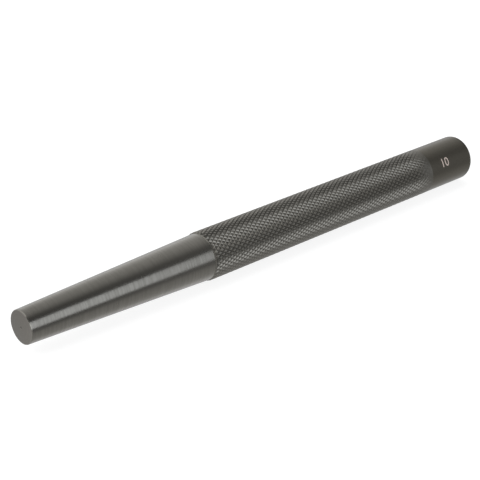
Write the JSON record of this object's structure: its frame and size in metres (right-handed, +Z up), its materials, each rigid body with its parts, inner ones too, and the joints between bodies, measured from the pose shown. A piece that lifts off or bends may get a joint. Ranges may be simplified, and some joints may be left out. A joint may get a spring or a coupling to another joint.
{
  "type": "taper punch",
  "caption": "Steel hand punch turned from one round bar: a long tapered nose with a flat tip, a diamond-knurled grip and a plain head with a rounded edge that is struck with a hammer.",
  "frame": {"origin": "under the middle of the punch's length, on the surface that it lies on", "axes": "+X along the punch's axis from the tip towards the struck head, +Z up from the surface that it lies on"},
  "size_m": [0.18, 0.015, 0.0149],
  "materials": {
    "blackened_steel": "turned and knurled tool steel with an oiled black-oxide finish, dark warm grey and satin"
  },
  "bodies": {
    "root": {"punch_bar": "blackened_steel"}
  },
  "joints": []
}
